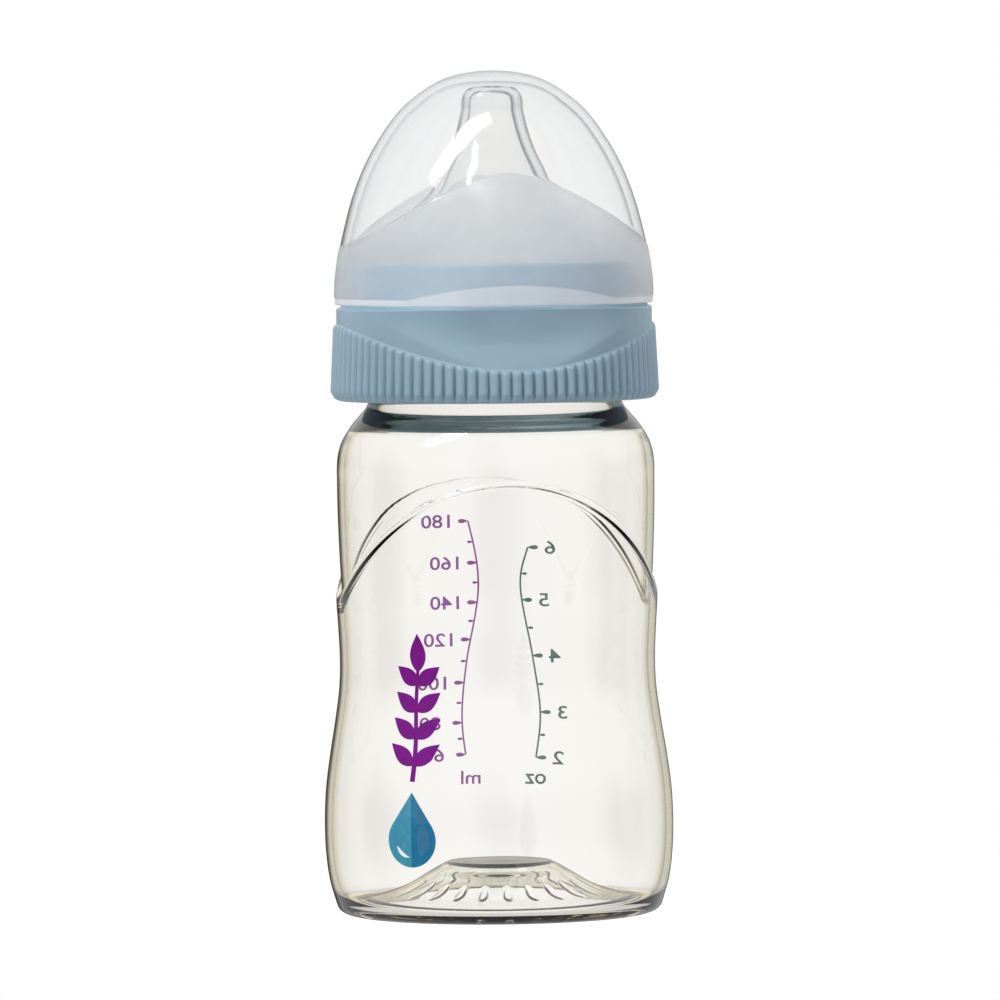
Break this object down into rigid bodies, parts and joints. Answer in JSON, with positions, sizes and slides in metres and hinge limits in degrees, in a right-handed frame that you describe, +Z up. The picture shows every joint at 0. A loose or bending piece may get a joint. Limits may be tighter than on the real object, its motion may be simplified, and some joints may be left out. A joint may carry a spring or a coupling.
{
  "type": "baby bottle",
  "caption": "Wide-neck feeding bottle with a clear waisted body, ribbed screw collar, silicone teat and domed travel cap.",
  "frame": {"origin": "centre of the foot ring, on the surface that the bottle stands on", "axes": "+Z up along the bottle's axis, -Y the front with the two small prints, +Y the back with the measuring scales"},
  "size_m": [0.0664, 0.0664, 0.1602],
  "materials": {
    "body_clear": "clear, faintly amber",
    "collar_blue": "satin powder blue",
    "silicone_clear": "clear soft silicone",
    "cap_clear": "clear with a frosted band",
    "ink_purple": "printed ink",
    "ink_green": "printed ink",
    "ink_blue": "printed ink"
  },
  "bodies": {
    "bottle": {"bottle_body": "body_clear", "ml_scale": "ink_purple", "oz_scale": "ink_green", "sprig_print": "ink_purple", "drop_print": "ink_blue"},
    "teat": {"teat": "silicone_clear"},
    "collar": {"screw_collar": "collar_blue"},
    "cap": {"travel_cap": "cap_clear"}
  },
  "joints": [
    {"name": "head_lift", "type": "slide", "parent": "bottle", "child": "teat", "axis": [0, 0, 1], "range_m": [0, 0.0181]},
    {"name": "collar_turn", "type": "hinge", "parent": "teat", "child": "collar", "pos_m": [0, 0, 0.107], "axis": [0, 0, 1], "range_deg": [0, 1080]},
    {"name": "cap_pull", "type": "slide", "parent": "collar", "child": "cap", "axis": [0, 0, 1], "range_m": [0, 0.05]}
  ],
  "couplings": [
    {"joint": "head_lift", "follows": "collar_turn", "m_per_rad": 0.00095493}
  ]
}
